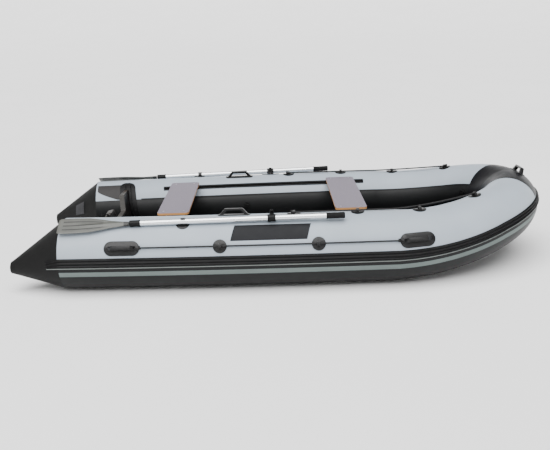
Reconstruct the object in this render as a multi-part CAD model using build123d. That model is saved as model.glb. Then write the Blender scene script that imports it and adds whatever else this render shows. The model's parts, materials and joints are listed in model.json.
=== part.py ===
"""Inflatable dinghy with a plywood transom, sliding seats and a pair of stowed oars.

Hull frame while modelling, in mm: X forward from the base of the stern cones, Y to port,
Z up from the tube centres. Everything is moved to the row's frame when it is written:
origin at the middle of the boat's length, on the ground.
"""

import os
from collections import namedtuple
from math import atan2, cos, degrees, hypot, radians, sin, sqrt, tan

from build123d import *

# ---- Driving dimensions -------------------------------------------------------------
TUBE_R = 225.0  # inflated tube radius along the sides
HALF_BEAM = 592.0  # tube centre from the middle plane, amidships
TOE_IN = 61.0  # how much closer the tubes are at the stern
TOE_START = 1950.0  # the tubes are parallel forward of this
BOW_START = 2093.0  # the plan curve of the bow begins here
BOW_REACH = 2964.0  # tube centre at the stem
BOW_SIDE_HANDLE = 298.0
BOW_FRONT_HANDLE = 453.0
SHEER_START = 2080.0  # the tubes begin to rise here
SHEER_BLEND = 606.0
SHEER_ANGLE = 14.1
BOW_TAPER = 0.179  # share of the radius lost at the stem
TAPER_POWER = 0.75
FABRIC = 1.2
BELT = 0.8  # thickness of the glued strips and panels
GLUE_GAP = 0.3
BOW_SPLIT = 0.5  # bow parameter where the side chambers end
BOW_STEPS = 24

CONE_LENGTH = 346.0
CONE_TIP_Y = 584.0
CONE_DROP = 66.0
CONE_TIP_R = 40.0
CAP_THICKNESS = 6.0

STRAKE_ANGLES = (-7.1, 7.9)
STRAKE_DEPTH = 12.0
PIPING_ANGLES = (-9.4, -7.5)
PIPING_DEPTH = 4.0
STRIPE_ANGLES = (-24.0, -15.4)
TAPE_ANGLES = (145.6, 148.4)
PANEL_ANGLES = (9.5, 212.0)
PANEL_START = 20 / BOW_STEPS  # bow parameter at the dark panel's edge
STRAKE_ON_CONE = 0.24
BELLY_ANGLE = 225.0
KEEL_Z = -218.0
BOTTOM_SKIN = 2.0
BOTTOM_END = 22 / BOW_STEPS
BOTTOM_STEPS = 22
BELLY_LIFT = 2.7
BOTTOM_START = 190.0

KEEL_TUBE_R = 41.0
KEEL_TUBE_SPAN = (345.0, 2080.0)
FLOOR_THICKNESS = 9.0
FLOOR_JOINTS = (345.0, 880.0, 1415.0, 1950.0)
FLOOR_BOW_END = 2440.0
FLOOR_SIDE_GAP = 3.0
JOINER_WEB = 3.0
JOINER_FLANGE = 2.0
JOINER_WIDTH = 34.0
STRINGER_WALL = 2.5
STRINGER_LIP = 18.0

TRANSOM_X = 262.0
TRANSOM_RAKE = 8.0
TRANSOM_THICKNESS = 30.0
TRANSOM_TOP = 192.0
TRANSOM_HALF_TOP = 400.0
NOTCH_FLOOR = 92.0
NOTCH_HALF_TOP = 195.0
NOTCH_HALF_FLOOR = 142.0
TRANSOM_CORNER = 24.0
TRIM_WALL = 3.0
TRIM_DEPTH = 13.0
TRIM_HALF_SPAN = 300.0
HOLDER_ANGLES = (96.0, 214.0)
HOLDER_SPAN = (190.0, 334.0)
HOLDER_FLANGE = 3.0
HOLDER_RIB = 26.0
HOLDER_RIB_WALL = 5.0
MOTOR_PAD = (250.0, 110.0, 5.0)
DRAIN_Y = -120.0
DRAIN_UP = -160.0
DRAIN_BORE_R = 11.0
DRAIN_WALL = 3.5
PLUG_FIT = 0.05

SEAT_TOP = 219.0
SEAT_THICKNESS = 14.0
SEAT_HALF_LENGTH = {"aft": 447.0, "fore": 460.0}
SEAT_WIDTH = 204.0
SEAT_CORNER = 26.0
SEAT_AFT_X = 678.0
SEAT_FORE_X = 1833.0
SEAT_TRAVEL = {"aft": (-80.0, 300.0), "fore": (-400.0, 90.0)}
RAIL_ANGLE = 126.0
RAIL_HALF_ANGLE = 4.8
RAIL_STRIP = 3.0
RAIL_BEAD_R = 6.0
RAIL_SPAN = (506.0, 2015.0)
CLIP_LENGTH = 42.0
CLIP_OFFSET = 66.0
CLIP_CLEAR = 1.6
CLIP_REST = 1.0
SCREW_R = 2.5
SCREW_HOLE_R = 2.6
SCREW_HEAD_R = 5.0
SCREW_HEAD = 2.2

OARLOCK_X = 1318.0
OARLOCK_ANGLE = 80.0
PIN_LEAN = 20.0  # the oarlock pin leans outboard, so the grip rises as the oar swings out
OAR_REACH = 60.0
OAR_HEIGHT = 32.0
OAR_TOE = 1.6
OAR_DROP = 0.8
OAR_R = 17.5
OAR_WALL = 1.5
OAR_FIT = 0.05
OAR_AFT = -1328.0  # blade tip, grip end and pieces along the oar, from the oarlock
BLADE_ROOT = -885.0
NECK_SPAN = (-903.0, -813.0)
SHAFT_SPAN = (-880.0, 352.0)
GRIP_SPAN = (337.0, 452.0)
GRIP_R = 19.5
NECK_R = 20.5
BLADE_HALF_WIDTH = 66.0
BLADE_THICKNESS = 6.0
BLADE_ROLL = -28.7
COLLAR_R = 23.0
COLLAR_WIDTH = 50.0
HUB_R = 14.0
PIN_R = 6.0
PIN_FIT = 0.05
BOSS_R = 20.0
BOSS_TOP = 14.0
HUB_SPAN = (14.3, 40.0)
KNOB = (40.3, 52.0, 11.0)
OAR_HOLDER_AFT = -548.0
HOLDER_PAD_R = 42.0
HOLDER_CLEAR = 0.8
HOLDER_WALL = 4.0

HANDLE_X = 1078.0
HANDLE_ANGLE = 95.0
EYELET_X = (1456.0, 1857.0)
EYELET_BOW = (0.172, 0.534)
EYELET_ANGLE = 90.0
EYELET_R = 42.0
EYELET_HEIGHT = 22.0
SIDE_ANGLE = 23.0
DISC_X = (1000.0, 1600.0)
DISC_R = 43.0
SIDE_HANDLE_AFT_X = 400.0
SIDE_HANDLE_BOW = 0.10
SIDE_HANDLE = (220.0, 92.0)
PATCH_X = (1061.0, 1559.0)
PATCH_SLANT = 26.0
PATCH_ANGLES = (31.0, 59.0)
ROPE_R = 4.5
ROPE_HEIGHT = 11.0
ROPE_CLEAR = 0.5
ROPE_TAIL = 16.0  # the lifeline's free end past its last eyelet
PAD = 4.0  # thickness of the moulded pads
VALVE_R = 24.0
VALVE_NECK_R = 18.0
VALVE_BORE_R = 13.0
VALVE_DEPTH = 22.0
VALVE_X = 1128.0
VALVE_ANGLE = 167.0
BOW_VALVE_AT = 0.72
BOW_VALVE_ANGLE = 166.0
BOW_HANDLE_ANGLE = 52.0
TOW_RING_AT = 0.4
TOW_RING_ANGLE = 150.0
TOW_RING_R = 19.0
TOW_WIRE_R = 3.0
TOW_FIT = 0.05

Station = namedtuple("Station", "centre along out up radius")


# ---- The tube's line ----------------------------------------------------------------
def rise(x):
    run = max(0.0, x - SHEER_START)
    slope = tan(radians(SHEER_ANGLE))
    if run < SHEER_BLEND:
        return slope * run**2 / (2 * SHEER_BLEND)
    return slope * (run - SHEER_BLEND / 2)


def rise_slope(x):
    run = max(0.0, x - SHEER_START)
    return tan(radians(SHEER_ANGLE)) * min(run / SHEER_BLEND, 1.0)


def make_station(x, y, dx, dy, radius):
    slope = rise_slope(x)
    along = Vector(dx, dy, slope * dx).normalized()
    up = Vector(-slope, 0, 1).normalized()
    return Station(Vector(x, y, rise(x)), along, up.cross(along), up, radius)


def side_station(x):
    """A place on the port tube's straight part, at this X."""
    inset = max(0.0, TOE_START - x) / TOE_START
    return make_station(x, HALF_BEAM - TOE_IN * inset**2, 1.0, 2 * TOE_IN * inset / TOE_START, TUBE_R)


def bow_point(t):
    x = (1 - t) ** 3 * BOW_START + 3 * t * (1 - t) ** 2 * (BOW_START + BOW_SIDE_HANDLE)
    x += (3 * t**2 * (1 - t) + t**3) * BOW_REACH
    y = ((1 - t) ** 3 + 3 * t * (1 - t) ** 2) * HALF_BEAM + 3 * t**2 * (1 - t) * BOW_FRONT_HANDLE
    return x, y


def bow_share(t, steps=60):
    """How far along the bow's curve this parameter lies, from 0 to 1."""
    points = [bow_point(i / steps) for i in range(steps + 1)]
    runs = [hypot(b[0] - a[0], b[1] - a[1]) for a, b in zip(points, points[1:])]
    whole = int(t * steps)
    part = runs[whole] * (t * steps - whole) if whole < steps else 0.0
    return (sum(runs[:whole]) + part) / sum(runs)


def bow_station(t):
    """A place on the port half of the bow: t is 0 at its start and 1 at the stem."""
    x, y = bow_point(t)
    front = BOW_REACH - BOW_START - BOW_SIDE_HANDLE
    dx = (1 - t) ** 2 * BOW_SIDE_HANDLE + 2 * t * (1 - t) * front
    dy = 2 * t * (1 - t) * (BOW_FRONT_HANDLE - HALF_BEAM) - t**2 * BOW_FRONT_HANDLE
    return make_station(x, y, dx, dy, TUBE_R * (1 - BOW_TAPER * bow_share(t) ** TAPER_POWER))


def station_at(x):
    """The place on the port tube at this X."""
    if x <= BOW_START:
        return side_station(x)
    low, high = 0.0, 1.0
    while high - low > 1e-6:
        middle = (low + high) / 2
        low, high = (middle, high) if bow_point(middle)[0] < x else (low, middle)
    return bow_station(low)


def bow_stations(start, end):
    count = max(1, round((end - start) * BOW_STEPS))
    return [bow_station(start + (end - start) * i / count) for i in range(count + 1)]


def side_stations(start, end, pitch=150.0):
    count = max(1, round((end - start) / pitch))
    return [side_station(start + (end - start) * i / count) for i in range(count + 1)]


def flip(vector):
    return Vector(vector.X, -vector.Y, vector.Z)


def mirror_station(place):
    along = flip(place.along) * -1
    return Station(flip(place.centre), along, flip(place.out), flip(place.up), place.radius)


def all_round(stations):
    """Port stations, over the stem, and back down the starboard side."""
    return stations + [mirror_station(place) for place in reversed(stations[:-1])]


def cone_station(share):
    """A place on the port stern cone: 0 at its base and 1 at its tip."""
    base = side_station(0)
    tip = Vector(-CONE_LENGTH, CONE_TIP_Y, -CONE_DROP)
    centre = base.centre + (tip - base.centre) * share
    return Station(centre, base.along, base.out, base.up, TUBE_R + (CONE_TIP_R - TUBE_R) * share)


def on_tube(place, angle, lift=0.0):
    """A point on the fabric: angle 0 is outboard, 90 is the crown, 180 is inboard."""
    reach = place.radius + lift
    return place.centre + place.out * (reach * cos(radians(angle))) + place.up * (reach * sin(radians(angle)))


def tube_plane(place, angle, lift=0.0):
    """A plane that lies on the fabric: x forward, z straight out of the tube."""
    normal = place.out * cos(radians(angle)) + place.up * sin(radians(angle))
    return Plane(origin=on_tube(place, angle, lift), x_dir=place.along, z_dir=normal)


# ---- Building blocks ----------------------------------------------------------------
def disc_wire(place, lift):
    plane = Plane(origin=place.centre, x_dir=place.out, z_dir=place.out.cross(place.up))
    return Wire.make_circle(place.radius + lift, plane)


def sector_wire(place, angles, low, high):
    first, last = angles
    middle = (first + last) / 2
    inner = [on_tube(place, a, low) for a in (first, middle, last)]
    outer = [on_tube(place, a, high) for a in (last, middle, first)]
    edges = [Edge.make_three_point_arc(*inner), Edge.make_line(inner[2], outer[0])]
    edges += [Edge.make_three_point_arc(*outer), Edge.make_line(outer[2], inner[0])]
    return Wire(edges)


def band(stations, angles, low, high):
    """A strip on the tubes between two angles and two heights above the fabric."""
    return Solid.make_loft([sector_wire(place, angles, low, high) for place in stations], True)


def tube(stations, lift):
    return Solid.make_loft([disc_wire(place, lift) for place in stations], True)


def hollow_tube(stations):
    return tube(stations, 0) - tube(stations, -FABRIC)


def starboard(shape):
    return mirror(shape, about=Plane.XZ)


def paired(*shapes):
    """The port pieces and their starboard twins, as one group."""
    return [*shapes, *(starboard(shape) for shape in shapes)]


def join(first, *others):
    for other in others:
        first = first + other
    return first


def cylinder(plane, radius, low, high):
    return extrude(plane.offset(low) * Circle(radius), high - low)


def ring(plane, outer, inner, low, high):
    return cylinder(plane, outer, low, high) - cylinder(plane, inner, low - 1, high + 1)


def block(plane, x_span, y_span, z_span):
    shape = Pos((x_span[0] + x_span[1]) / 2, (y_span[0] + y_span[1]) / 2) * Rectangle(
        x_span[1] - x_span[0], y_span[1] - y_span[0]
    )
    return extrude(plane.offset(z_span[0]) * shape, z_span[1] - z_span[0])


def outline(plane, points, low, high):
    face = make_face(Polyline(*points, close=True))
    return extrude(plane.offset(low) * face, high - low)


def patch(plane, line, face, angle, low, high, spread=30.0):
    """A pad with this flat outline, wrapped on the tube around one angle."""
    shell = band(line, (angle - spread, angle + spread), low, high)
    return shell & extrude(plane.offset(-60) * face, 120)


def near(place, half_run=130.0):
    """The tube's own rings for a little way each side of a place."""
    x = place.centre.X
    rings = SIDE + bow_stations(0, 1)
    first = max([0] + [i for i, ring in enumerate(rings) if ring.centre.X < x - half_run])
    last = min([i for i, ring in enumerate(rings) if ring.centre.X > x + half_run] + [len(rings) - 1])
    return rings[first : last + 1]


def local_skin(place, lift=GLUE_GAP):
    return tube(near(place), lift)


# ---- Hull fabric --------------------------------------------------------------------
SIDE = side_stations(0, TOE_START)
BOW = bow_stations(0, 1)
PORT_LINE = SIDE + BOW


def valve_hole(place, angle):
    return cylinder(tube_plane(place, angle), VALVE_NECK_R + GLUE_GAP, -FABRIC * 4, FABRIC * 4)


def chambers():
    port = hollow_tube(SIDE + bow_stations(0, BOW_SPLIT)) - valve_hole(*SIDE_VALVE)
    yield "chamber_port", port
    yield "chamber_starboard", starboard(port)
    yield "chamber_bow", hollow_tube(all_round(bow_stations(BOW_SPLIT, 1))) - valve_hole(*BOW_VALVE)


def bulkheads():
    place = bow_station(BOW_SPLIT)
    plane = Plane(origin=place.centre, x_dir=place.out, z_dir=place.along)
    port = cylinder(plane, place.radius - FABRIC - GLUE_GAP, -FABRIC, FABRIC)
    return port, starboard(port)


def cone():
    ends = [cone_station(0), cone_station(1)]
    return hollow_tube(ends)


def cone_caps():
    tip = cone_station(1)
    plane = Plane(origin=tip.centre, x_dir=tip.out, z_dir=tip.along * -1)
    cap = cylinder(plane, CONE_TIP_R, 0, CAP_THICKNESS)
    cap = fillet(cap.edges().filter_by(GeomType.CIRCLE).sort_by(Axis.X)[0], CAP_THICKNESS * 0.7)
    return cap, starboard(cap)


def keel_height(x):
    """The bottom skin's keel line: level, then rising to meet the tubes at the bow."""
    end = belly_point(BOTTOM_END)
    share = max(0.0, x - BOW_START) / (end.X - BOW_START)
    return KEEL_Z + (end.Z - 12 - KEEL_Z) * share**3


def belly_point(t):
    return on_tube(bow_station(t), BELLY_ANGLE, BELLY_LIFT)


def bottom_section(edge):
    keel = Vector(edge.X, 0, keel_height(edge.X))
    raised = Vector(0, 0, BOTTOM_SKIN)
    points = [edge, keel, flip(edge), flip(edge) + raised, keel + raised, edge + raised]
    return Wire.make_polygon(points, close=True)


def bottom_skin():
    places = side_stations(BOTTOM_START, TOE_START)
    edges = [on_tube(place, BELLY_ANGLE, BELLY_LIFT) for place in places]
    edges += [belly_point(BOTTOM_END * i / BOTTOM_STEPS) for i in range(BOTTOM_STEPS + 1)]
    return Solid.make_loft([bottom_section(edge) for edge in edges], True)


# ---- Floor --------------------------------------------------------------------------
KEEL_TUBE_Z = KEEL_Z + BOTTOM_SKIN + KEEL_TUBE_R + 1.0
FLOOR_BOTTOM = KEEL_TUBE_Z + KEEL_TUBE_R + 0.5 + JOINER_FLANGE
FLOOR_TOP = FLOOR_BOTTOM + FLOOR_THICKNESS
STRINGER_TOP = FLOOR_TOP + JOINER_FLANGE


def keel_tube():
    start, end = KEEL_TUBE_SPAN
    plane = Plane(origin=(0, 0, KEEL_TUBE_Z), x_dir=(0, 1, 0), z_dir=(1, 0, 0))
    skin = ring(plane, KEEL_TUBE_R, KEEL_TUBE_R - FABRIC, start, end)
    closed = [cylinder(plane, KEEL_TUBE_R, start - FABRIC, start), cylinder(plane, KEEL_TUBE_R, end, end + FABRIC)]
    return skin, *closed


def floor_half(x):
    """Half the room between the tubes at the floor's height, less its side gap."""
    if x <= BOW_START:
        centre = side_station(x).centre.Y
        return centre - sqrt(TUBE_R**2 - STRINGER_TOP**2) - FLOOR_SIDE_GAP
    places = bow_stations(0, 1)
    width = HALF_BEAM
    while width > 1:
        spot = Vector(x, width, STRINGER_TOP)
        room = min((spot - p.centre).length - p.radius for p in places)
        if room > FLOOR_SIDE_GAP + 6 and skin_top(x, width) < FLOOR_BOTTOM - JOINER_FLANGE:
            break
        width -= 1
    return width


def skin_top(x, y):
    """The bottom skin's upper face at a place forward of the bow's start."""
    edge = min((belly_point(i / 100) for i in range(95)), key=lambda point: abs(point.X - x))
    keel = keel_height(x)
    return keel + (edge.Z - keel) * y / edge.Y + BOTTOM_SKIN


def board_half(x):
    return floor_half(x) - STRINGER_WALL - GLUE_GAP


def floorboards():
    names = ("aft", "middle", "fore")
    plane = Plane.XY
    half_web = JOINER_WEB / 2
    for name, start, end in zip(names, FLOOR_JOINTS, FLOOR_JOINTS[1:]):
        first, last = start + half_web, end - half_web
        points = [(first, board_half(start)), (last, board_half(end))]
        points += [(x, -y) for x, y in reversed(points)]
        yield f"floorboard_{name}", outline(plane, points, FLOOR_BOTTOM, FLOOR_TOP)
    start = FLOOR_JOINTS[-1] + half_web
    stops = [start + (FLOOR_BOW_END - start) * i / 5 for i in range(6)]
    points = [(x, floor_half(x) - STRINGER_WALL - GLUE_GAP) for x in stops]
    points += [(x, -y) for x, y in reversed(points)]
    yield "floorboard_bow", outline(plane, points, FLOOR_BOTTOM, FLOOR_TOP)


def floor_joiners():
    """H sections that hold the boards' ends together."""
    for x in FLOOR_JOINTS[1:]:
        half = board_half(x - JOINER_WIDTH) - STRINGER_LIP - 2
        web = block(Plane.XY, (x - JOINER_WEB / 2, x + JOINER_WEB / 2), (-half, half), (FLOOR_BOTTOM, FLOOR_TOP))
        flange = (x - JOINER_WIDTH / 2, x + JOINER_WIDTH / 2)
        low = block(Plane.XY, flange, (-half, half), (FLOOR_BOTTOM - JOINER_FLANGE, FLOOR_BOTTOM))
        high = block(Plane.XY, flange, (-half, half), (FLOOR_TOP, FLOOR_TOP + JOINER_FLANGE))
        yield join(web, low, high)


def stringer():
    """The C section along the boards' port edges."""
    low, high = FLOOR_BOTTOM - JOINER_FLANGE, FLOOR_TOP + JOINER_FLANGE
    wires = []
    for x in FLOOR_JOINTS:
        side = floor_half(x)
        inner, lip = side - STRINGER_WALL, side - STRINGER_WALL - STRINGER_LIP
        profile = [(side, low), (side, high), (lip, high), (lip, FLOOR_TOP)]
        profile += [(inner, FLOOR_TOP), (inner, FLOOR_BOTTOM), (lip, FLOOR_BOTTOM), (lip, low)]
        wires.append(Wire.make_polygon([Vector(x, y, z) for y, z in profile], close=True))
    return Solid.make_loft(wires, True)


# ---- Transom ------------------------------------------------------------------------
RAKE = radians(TRANSOM_RAKE)
BOARD = Plane(origin=(TRANSOM_X, 0, 0), x_dir=(0, 1, 0), z_dir=(cos(RAKE), 0, sin(RAKE)))
HALF_BOARD = TRANSOM_THICKNESS / 2


def transom_outline():
    edge = on_tube(side_station(TRANSOM_X), BELLY_ANGLE, BOTTOM_SKIN)
    side_low = (edge.Z + 3 * BOTTOM_SKIN) / cos(RAKE)
    keel = (KEEL_Z + 3 * BOTTOM_SKIN) / cos(RAKE)
    half = [(NOTCH_HALF_FLOOR, NOTCH_FLOOR), (NOTCH_HALF_TOP, TRANSOM_TOP), (TRANSOM_HALF_TOP, TRANSOM_TOP)]
    half += [(TRANSOM_HALF_TOP + 60, 0), (edge.Y + 4, side_low)]
    points = half + [(0, keel)] + [(-x, y) for x, y in reversed(half)]
    face = make_face(Polyline(*points, close=True))
    corners = [v for v in face.vertices() if v.Y > NOTCH_FLOOR - 1]
    return fillet(corners, TRANSOM_CORNER)


def tube_cut(lift):
    places = side_stations(0, 500, 250)
    port = tube(places, lift)
    return port, starboard(port)


def transom():
    face = transom_outline()
    board = extrude(BOARD * face, HALF_BOARD, both=True)
    for side in tube_cut(HOLDER_FLANGE + 2 * GLUE_GAP):
        board = board - side
    bore = cylinder(Plane(origin=BOARD.from_local_coords((DRAIN_Y, DRAIN_UP, 0)), x_dir=(0, 1, 0), z_dir=BOARD.z_dir),
                    DRAIN_BORE_R + DRAIN_WALL + GLUE_GAP, -TRANSOM_THICKNESS, TRANSOM_THICKNESS)
    board = board - bore
    yield "transom_board", board
    half = HALF_BOARD + TRIM_WALL
    proud = offset(face, TRIM_WALL, kind=Kind.ARC)
    core = offset(face, -TRIM_DEPTH, kind=Kind.ARC)
    trim = extrude(BOARD * proud, half, both=True) - extrude(BOARD * face, HALF_BOARD, both=True)
    trim = trim - extrude(BOARD * core, half + 1, both=True)
    window = block(BOARD, (-TRIM_HALF_SPAN, TRIM_HALF_SPAN), (NOTCH_FLOOR - TRIM_DEPTH, TRANSOM_TOP + 10), (-half, half))
    yield "transom_trim", trim & window
    width, height, thick = MOTOR_PAD
    top = NOTCH_FLOOR - TRIM_DEPTH - 6
    pads = []
    for low in (-HALF_BOARD - thick, HALF_BOARD):
        pad = block(BOARD, (-width / 2, width / 2), (top - height, top), (low, low + thick))
        pads.append(fillet(pad.edges().filter_by(Axis(BOARD.origin, BOARD.z_dir)), 12))
    yield "motor_pads", pads


def transom_holder():
    """The rubber bracket that joins the board to the port tube."""
    start, end = HOLDER_SPAN
    step = (end - start) / 2
    flange = band(side_stations(start, end, step), HOLDER_ANGLES, GLUE_GAP, HOLDER_FLANGE)
    wide = band(side_stations(start - step, end + step, step), HOLDER_ANGLES, GLUE_GAP, HOLDER_RIB)
    room = (-HALF_BEAM, HALF_BEAM)
    fore = wide & block(BOARD, room, room, (HALF_BOARD, HALF_BOARD + HOLDER_RIB_WALL))
    aft = wide & block(BOARD, room, room, (-HALF_BOARD - HOLDER_RIB_WALL, -HALF_BOARD))
    return join(flange, fore, aft)


def drain():
    spot = BOARD.from_local_coords((DRAIN_Y, DRAIN_UP, 0))
    plane = Plane(origin=spot, x_dir=(0, 1, 0), z_dir=BOARD.z_dir * -1)
    outer = DRAIN_BORE_R + DRAIN_WALL
    face = HALF_BOARD
    body = ring(plane, outer, DRAIN_BORE_R, -face - 2, face) + ring(plane, outer + 9, DRAIN_BORE_R, face, face + 4)
    yield "drain_body", body
    plug = cylinder(plane, DRAIN_BORE_R - PLUG_FIT, -6, face + 4)
    plug = plug + cylinder(plane, DRAIN_BORE_R + 6, face + 4, face + 10)
    yield "drain_plug", plug


def stern_patch():
    """The reinforcing patch on the port tube aft of the transom."""
    return band(side_stations(12, HOLDER_SPAN[0] - 2, 60), (108, 140), GLUE_GAP, GLUE_GAP + 1)


# ---- Seats --------------------------------------------------------------------------
def rail_point(x, lift=0.0):
    return on_tube(side_station(x), RAIL_ANGLE, lift)


BEAD_LIFT = RAIL_STRIP + RAIL_BEAD_R - 1
BEAD_Z = rail_point(SEAT_AFT_X, BEAD_LIFT).Z
SEAT_BOTTOM = SEAT_TOP - SEAT_THICKNESS


def seat_rail():
    places = side_stations(*RAIL_SPAN, 270)
    strip = band(places, (RAIL_ANGLE - RAIL_HALF_ANGLE, RAIL_ANGLE + RAIL_HALF_ANGLE), GLUE_GAP, RAIL_STRIP)
    wires = []
    for place in places:
        plane = Plane(origin=on_tube(place, RAIL_ANGLE, BEAD_LIFT), x_dir=place.out, z_dir=place.along)
        wires.append(Wire.make_circle(RAIL_BEAD_R, plane))
    return strip + Solid.make_loft(wires, True)


def clip_rows(x):
    return [x - CLIP_OFFSET, x + CLIP_OFFSET]


def screw_spots(x, half_y):
    return [(row, side * half_y) for row in clip_rows(x) for side in (-1, 1)]


def seat(name, x):
    """A seat board, the clips under its ends that ride on the rails, and their screws."""
    low, high = SEAT_TRAVEL[name]
    reach = [rail_point(x + low - CLIP_OFFSET - CLIP_LENGTH).Y, rail_point(x + high + CLIP_OFFSET + CLIP_LENGTH).Y]
    shift_y = rail_point(x, BEAD_LIFT).Y - rail_point(x).Y
    inner = reach[0] + shift_y - RAIL_BEAD_R - CLIP_CLEAR
    outer = reach[1] + shift_y + RAIL_BEAD_R + CLIP_CLEAR
    roof = BEAD_Z + RAIL_BEAD_R + CLIP_REST
    start = inner - 30
    screw_y = inner - 18
    half = SEAT_HALF_LENGTH[name]
    face = RectangleRounded(SEAT_WIDTH, 2 * half, SEAT_CORNER)
    board = extrude(Plane.XY.offset(SEAT_BOTTOM) * Pos(x, 0) * face, SEAT_THICKNESS)
    clips, screws = [], []
    for spot_x, spot_y in screw_spots(x, screw_y):
        hole = Plane(origin=(spot_x, spot_y, 0))
        board = board - cylinder(hole, SCREW_HOLE_R, SEAT_BOTTOM - 1, SEAT_TOP + 1)
        shank = cylinder(hole, SCREW_R, roof - 14, SEAT_TOP)
        screws.append(shank + cylinder(hole, SCREW_HEAD_R, SEAT_TOP, SEAT_TOP + SCREW_HEAD))
        side = 1 if spot_y > 0 else -1
        along = (spot_x - CLIP_LENGTH / 2, spot_x + CLIP_LENGTH / 2)
        flat = block(Plane.XY, along, (start, half - 2), (roof, SEAT_BOTTOM))
        wall = block(Plane.XY, along, (start, inner), (roof - 15, roof))
        clip = flat + wall
        if side < 0:
            clip = starboard(clip)
        clips.append(clip - cylinder(hole, SCREW_HOLE_R, roof - 16, SEAT_TOP))
    yield f"seat_{name}", board
    yield f"seat_{name}_clips", clips
    yield f"seat_{name}_screws", screws


# ---- Oars and oarlocks --------------------------------------------------------------
def oarlock_plane():
    """Origin on the fabric, x forward, y outboard, z up the leaning pin."""
    place = side_station(OARLOCK_X)
    lean = radians(PIN_LEAN)
    pin = place.out * sin(lean) + place.up * cos(lean)
    return Plane(origin=on_tube(place, OARLOCK_ANGLE), x_dir=place.along, z_dir=pin)


LOCK = oarlock_plane()


def oar_plane():
    """Along the port oar: x towards the grip, z up, origin where the oarlock holds it."""
    origin = LOCK.from_local_coords((0, OAR_REACH, OAR_HEIGHT))
    toe, drop = radians(OAR_TOE), radians(OAR_DROP)
    axis = Vector(cos(toe) * cos(drop), sin(toe) * cos(drop), sin(drop))
    return Plane(origin=origin, x_dir=axis.cross(Vector(0, 0, 1)) * -1, z_dir=axis)


OAR = oar_plane()  # z along the shaft, x outboard for the port oar


def oarlock_base():
    place = side_station(OARLOCK_X)
    plane = tube_plane(place, OARLOCK_ANGLE)
    points = [(-76, 0), (-12, -32), (12, -32), (76, 0), (12, 32), (-12, 32)]
    diamond = fillet(make_face(Polyline(*points, close=True)).vertices(), 8)
    pad = patch(plane, near(place), diamond, OARLOCK_ANGLE, GLUE_GAP, PAD)
    boss = cylinder(LOCK, BOSS_R, -4, BOSS_TOP) - local_skin(place)
    base = pad + boss
    return base - cylinder(LOCK, PIN_R + GLUE_GAP, 5.7, BOSS_TOP + 1)


def oarlock_pin():
    low, high, radius = KNOB
    pin = cylinder(LOCK, PIN_R, 6, low) + cylinder(LOCK, radius, low, high)
    return fillet(pin.edges().filter_by(GeomType.CIRCLE).sort_by(Axis(LOCK.origin, LOCK.z_dir))[-1], 4)


def oar_collar():
    """The moulded clamp on the shaft, with the hub that turns on the pin."""
    low, high = HUB_SPAN
    grip = cylinder(OAR, COLLAR_R, -COLLAR_WIDTH / 2, COLLAR_WIDTH / 2)
    arm = block(LOCK, (-12, 12), (0, OAR_REACH), (18, high - 4))
    collar = join(grip, arm, cylinder(LOCK, HUB_R, low, high))
    collar = collar - cylinder(OAR, OAR_R + OAR_FIT, -COLLAR_WIDTH, COLLAR_WIDTH)
    return collar - cylinder(LOCK, PIN_R + PIN_FIT, low - 2, high + 2)


def oar_blade():
    roll = radians(BLADE_ROLL)
    flat = Plane(origin=OAR.origin, x_dir=OAR.z_dir, z_dir=oar_normal(roll))
    root, tip, half = BLADE_ROOT, OAR_AFT, BLADE_HALF_WIDTH
    with BuildSketch() as sketch:
        with BuildLine():
            top = Spline((root, 14), (root - 110, 30), (root - 250, half - 4), (tip + 60, half))
            bottom = Spline((root, -14), (root - 110, -30), (root - 250, -half + 4), (tip + 60, -half))
            cap = Spline(top @ 1, (tip, half - 26), (tip, -half + 26), bottom @ 1)
            Line(top @ 0, bottom @ 0)
        make_face()
    blade = extrude(flat * sketch.sketch, BLADE_THICKNESS / 2, both=True)
    spine = Solid.make_cone(13.5, 3.2, 320, Plane(origin=OAR.origin + OAR.z_dir * (root + 4), z_dir=OAR.z_dir * -1))
    spigot = cylinder(OAR, OAR_R - OAR_WALL - GLUE_GAP, root - 6, root + 80)
    return join(blade, spine, spigot)


def oar_normal(roll):
    side = OAR.z_dir.cross(Vector(0, 0, 1)).normalized() * -1
    up = OAR.z_dir.cross(side).normalized()
    if up.Z < 0:
        up = up * -1
    return up * cos(roll) - side * sin(roll)


def oar_shaft():
    start, end = SHAFT_SPAN
    return ring(OAR, OAR_R, OAR_R - OAR_WALL, start, end)


def oar_neck():
    start, end = NECK_SPAN
    return ring(OAR, NECK_R, OAR_R + OAR_FIT, SHAFT_SPAN[0], end)


def oar_grip():
    start, end = GRIP_SPAN
    grip = cylinder(OAR, GRIP_R, start, end)
    grip = fillet(grip.edges().filter_by(GeomType.CIRCLE), 4)
    return grip - cylinder(OAR, OAR_R + OAR_FIT, start - 1, SHAFT_SPAN[1] + GLUE_GAP)


def oar_holder():
    """The rubber cradle that the stowed shaft lies in, open outboard."""
    along = OAR.origin + OAR.z_dir * OAR_HOLDER_AFT
    place = side_station(along.X)
    rel = along - place.centre
    angle = degrees(atan2(rel.dot(place.up), rel.dot(place.out)))
    plane = tube_plane(place, angle)
    pad = patch(plane, near(place), Circle(HOLDER_PAD_R), angle, GLUE_GAP, PAD)
    inner = OAR_R + HOLDER_CLEAR
    section = Plane(origin=along, x_dir=place.out, z_dir=place.along)
    cradle = ring(section, inner + HOLDER_WALL, inner, -14, 14)
    mouth = Polyline((0, 0), (120, 120), (120, -200), (-30, -200), close=True)
    cradle = cradle - extrude(section.offset(-20) * make_face(mouth), 40)
    foot = block(plane, (-14, 14), (-16, 6), (1, (along - plane.origin).length - inner + 3))
    foot = foot - cylinder(section, inner, -20, 20)
    return join(pad, join(cradle, foot) - local_skin(place))


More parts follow.
